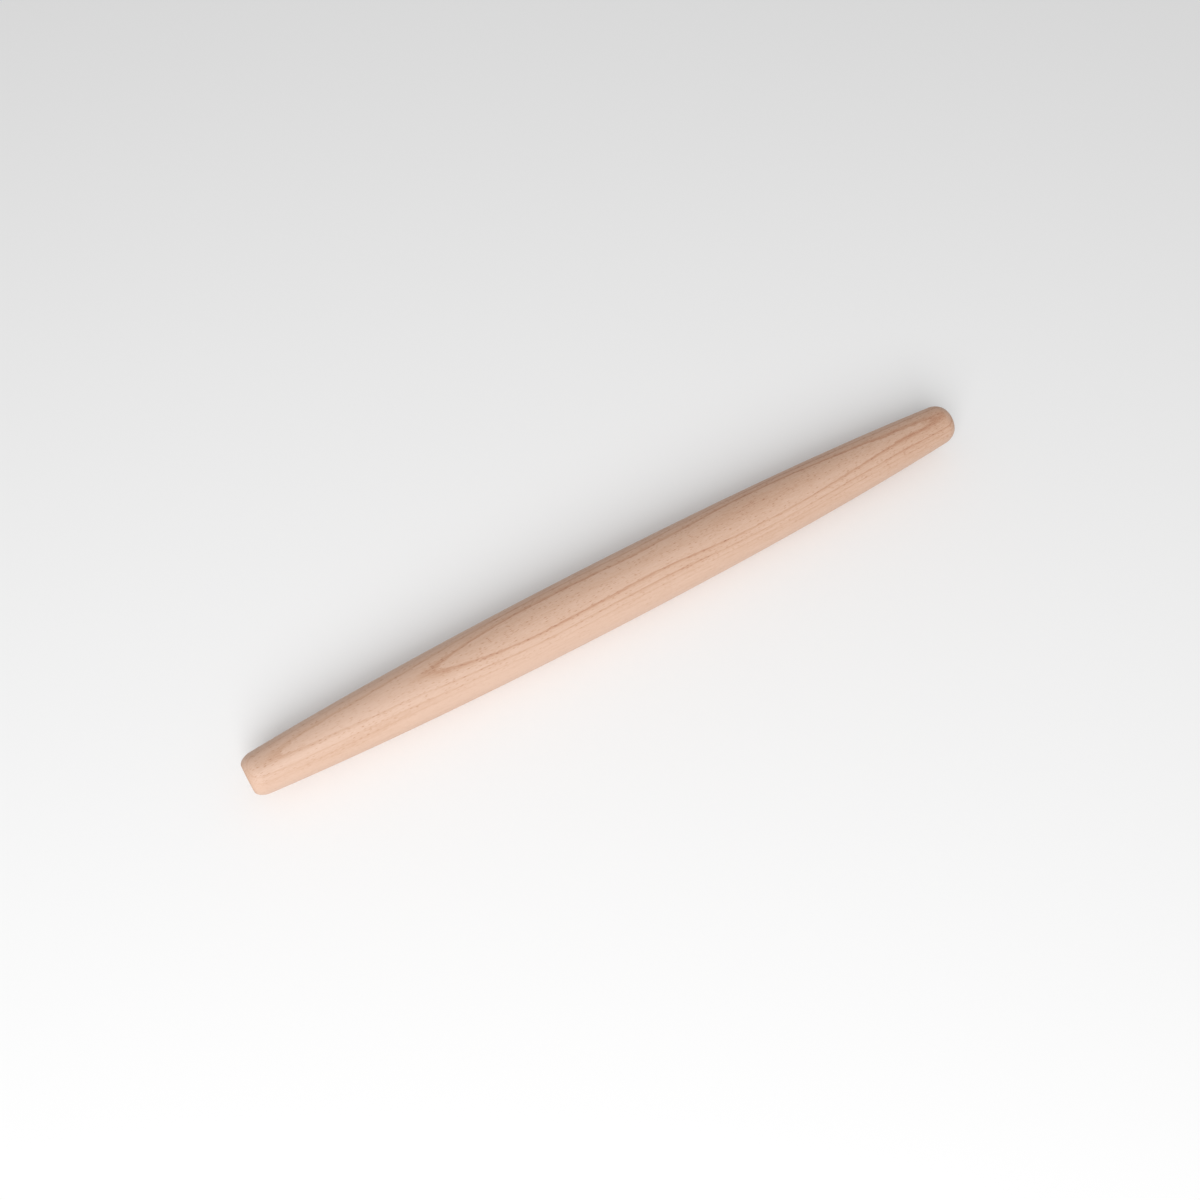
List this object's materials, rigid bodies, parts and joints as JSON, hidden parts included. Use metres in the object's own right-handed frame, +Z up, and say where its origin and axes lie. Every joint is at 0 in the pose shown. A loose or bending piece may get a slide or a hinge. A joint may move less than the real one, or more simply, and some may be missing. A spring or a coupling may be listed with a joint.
{
  "type": "french rolling pin",
  "caption": "Tapered french rolling pin turned from one piece of beech, with a gently curved barrel and rounded ends with small flat faces.",
  "frame": {"origin": "on the turning axis at mid length, the centre of the fattest place", "axes": "+X along the turning axis from one end face to the other, +Z up; the belly rests on a table at -Z"},
  "size_m": [0.5, 0.0414, 0.0414],
  "materials": {
    "beech": "fine sanded, bare or lightly oiled, satin"
  },
  "bodies": {
    "root": {"turned_pin": "beech"}
  },
  "joints": []
}
